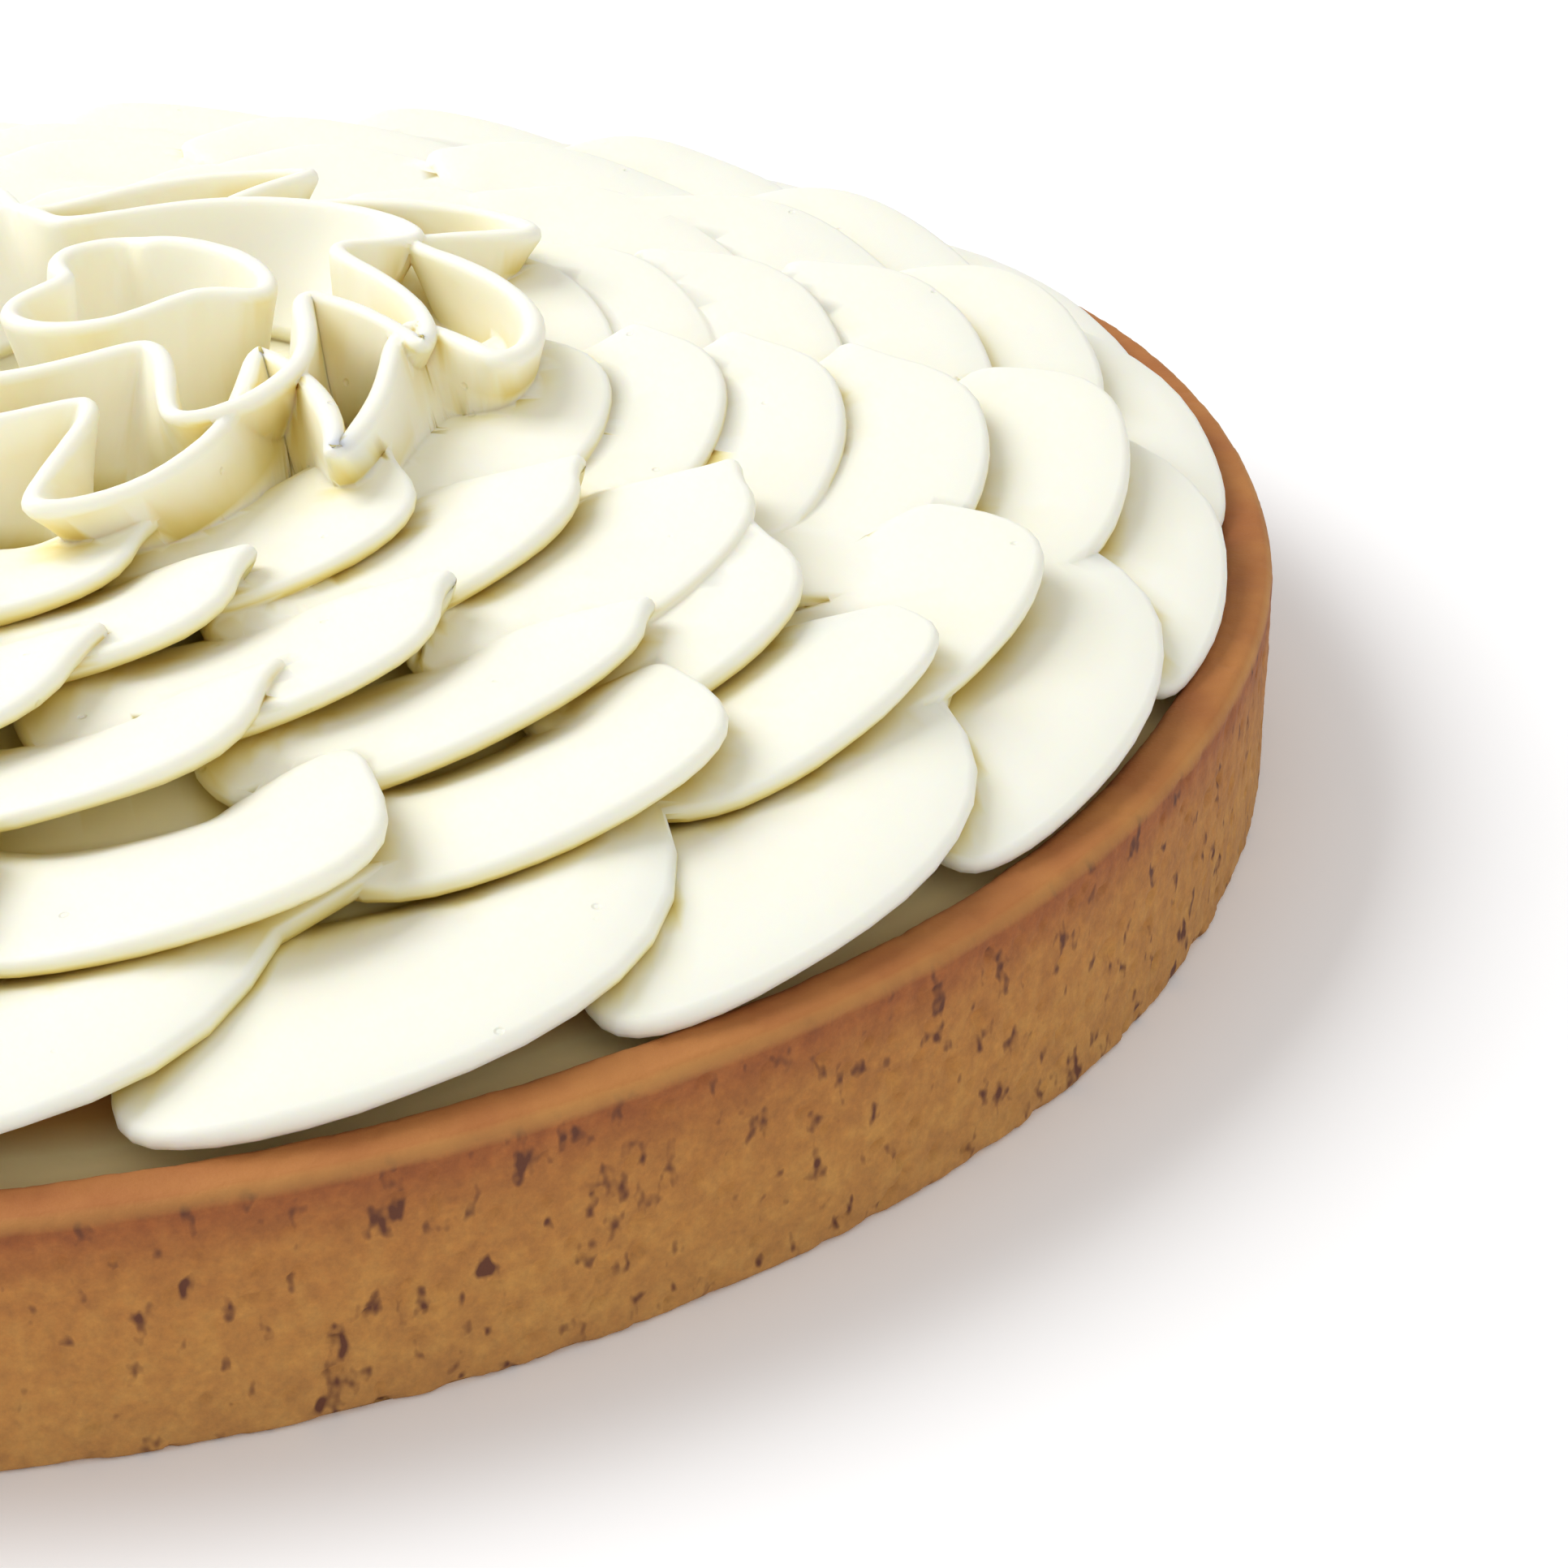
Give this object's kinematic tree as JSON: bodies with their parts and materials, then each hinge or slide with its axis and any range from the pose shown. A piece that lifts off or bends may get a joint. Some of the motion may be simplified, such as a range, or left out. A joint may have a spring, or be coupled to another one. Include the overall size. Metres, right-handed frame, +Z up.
{
  "type": "lemon tart",
  "caption": "Round shortcrust tart with a straight wall, a lemon filling and a domed top of overlapping piped cream petals round a ruffled rosette.",
  "frame": {"origin": "middle of the crust's flat underside, on the surface that the tart stands on", "axes": "+Z up out of the cream, -Y towards the pictured side, +X to that side's right"},
  "size_m": [0.22, 0.2199, 0.0407],
  "materials": {
    "shortcrust": "baked shortcrust, golden brown, matt and sandy",
    "lemon_filling": "set lemon cream, pale at the rim, satin",
    "piped_cream": "whipped ivory cream, soft satin, with flakes of gold leaf"
  },
  "bodies": {
    "root": {"crust": "shortcrust", "filling": "lemon_filling", "piped_cream": "piped_cream"}
  },
  "joints": []
}
